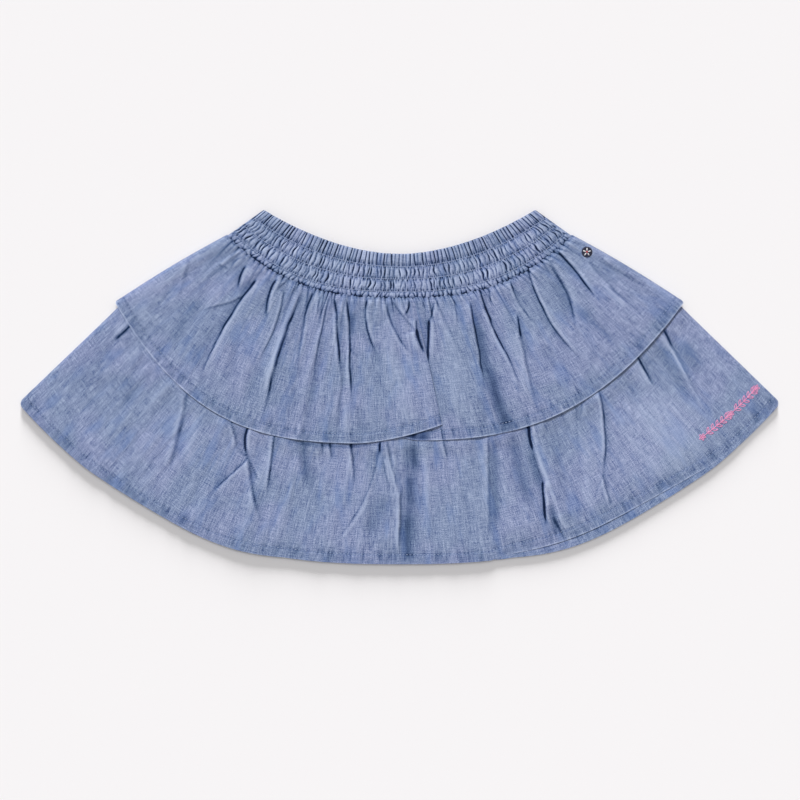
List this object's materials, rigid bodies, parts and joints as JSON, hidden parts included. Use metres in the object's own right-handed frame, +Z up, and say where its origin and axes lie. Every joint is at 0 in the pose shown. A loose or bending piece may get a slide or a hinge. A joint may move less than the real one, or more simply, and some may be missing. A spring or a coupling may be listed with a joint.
{
  "type": "two-tier denim skirt laid flat",
  "caption": "Girl's tiered chambray skirt laid flat, with a shirred elastic waistband and gathered flounces over a yoke.",
  "frame": {"origin": "on the surface that the skirt lies on, under the middle of its bounding box", "axes": "+X to the right of someone looking down at the front, +Y from the hem to the waist, +Z up from the surface, out of the front"},
  "size_m": [0.6058, 0.2832, 0.01],
  "materials": {
    "band_chambray": "light blue heathered cotton chambray, shirred with elastic thread",
    "tier_chambray": "light blue heathered cotton chambray, matt plain weave with soft slubs",
    "yoke_chambray": "the same chambray, plain and hidden",
    "sewing_thread": "fine pale blue sewing thread",
    "pink_thread": "pink embroidery thread",
    "navy_thread": "dark blue embroidery thread with small light and red stitches"
  },
  "bodies": {
    "root": {"waistband_front": "band_chambray", "waistband_back": "band_chambray", "upper_tier_front": "tier_chambray", "upper_tier_back": "tier_chambray", "yoke_front": "yoke_chambray", "yoke_back": "yoke_chambray", "lower_tier_front": "tier_chambray", "lower_tier_back": "tier_chambray"}
  },
  "joints": []
}
